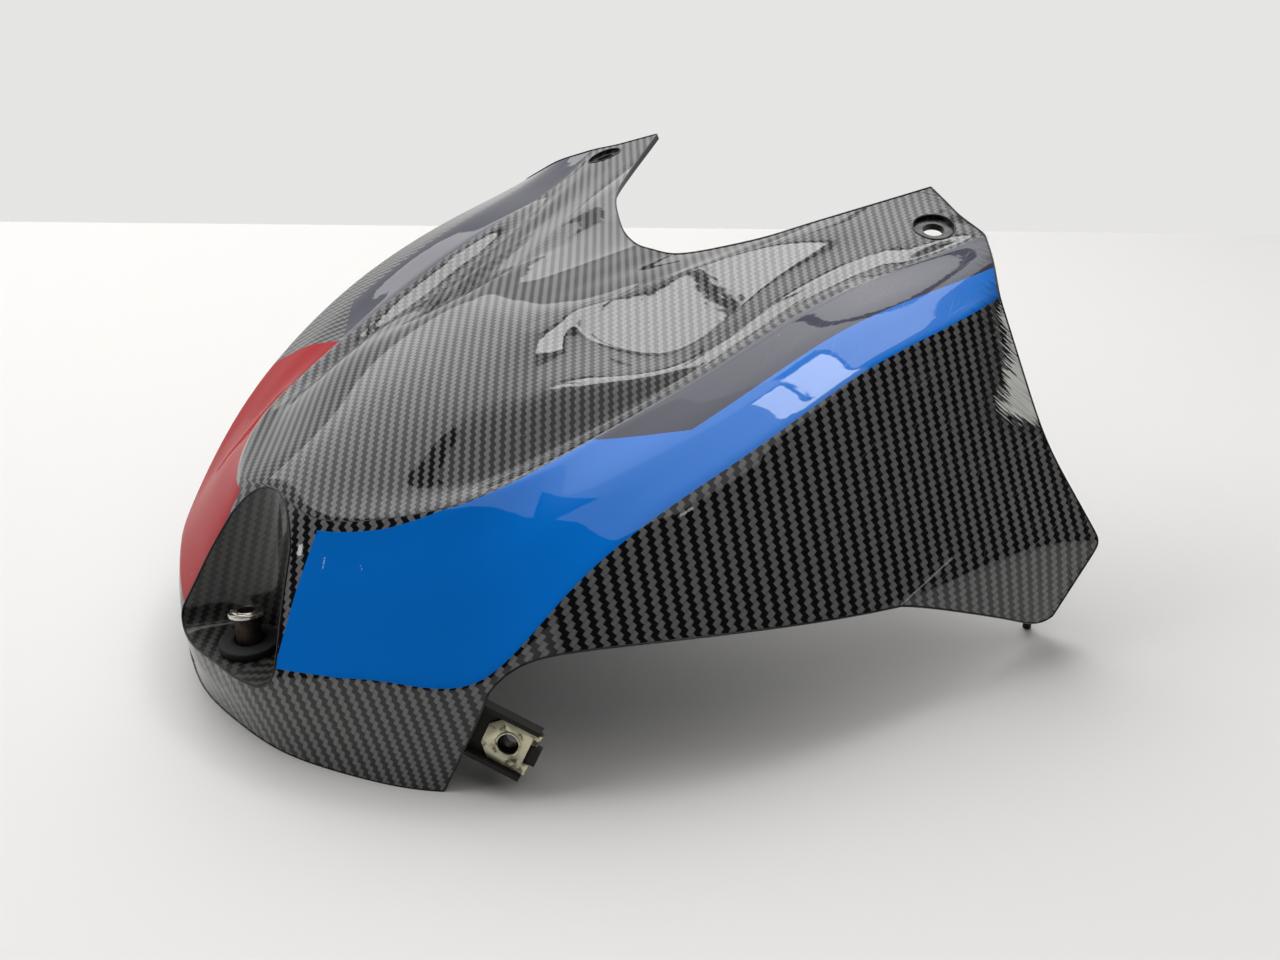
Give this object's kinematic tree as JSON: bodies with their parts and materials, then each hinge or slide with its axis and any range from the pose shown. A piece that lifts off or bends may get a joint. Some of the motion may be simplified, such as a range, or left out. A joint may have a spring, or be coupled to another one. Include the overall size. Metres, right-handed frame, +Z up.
{
  "type": "motorcycle tank cover",
  "caption": "Moulded hood-shaped cover for a motorcycle tank, with a pocketed nose, creased shoulders and two wings round a notch; screws on at wing holes, nose sleeve and clip nuts.",
  "frame": {"origin": "middle of the overall length and width, at the surface it stands on", "axes": "+X forward to the wing tips, +Y to the rider's left, +Z up"},
  "size_m": [0.3134, 0.3884, 0.156],
  "materials": {
    "shell": "carbon weave look under clear lacquer, with painted side fields",
    "rubber": "matt black",
    "sleeve": "worn zinc plate",
    "clip": "yellow zinc plate, dirty"
  },
  "bodies": {
    "root": {"tank_cover_shell": "shell", "nose_grommet": "rubber", "flanged_sleeve": "sleeve", "clip_nut_left": "clip", "clip_nut_right": "clip"}
  },
  "joints": []
}
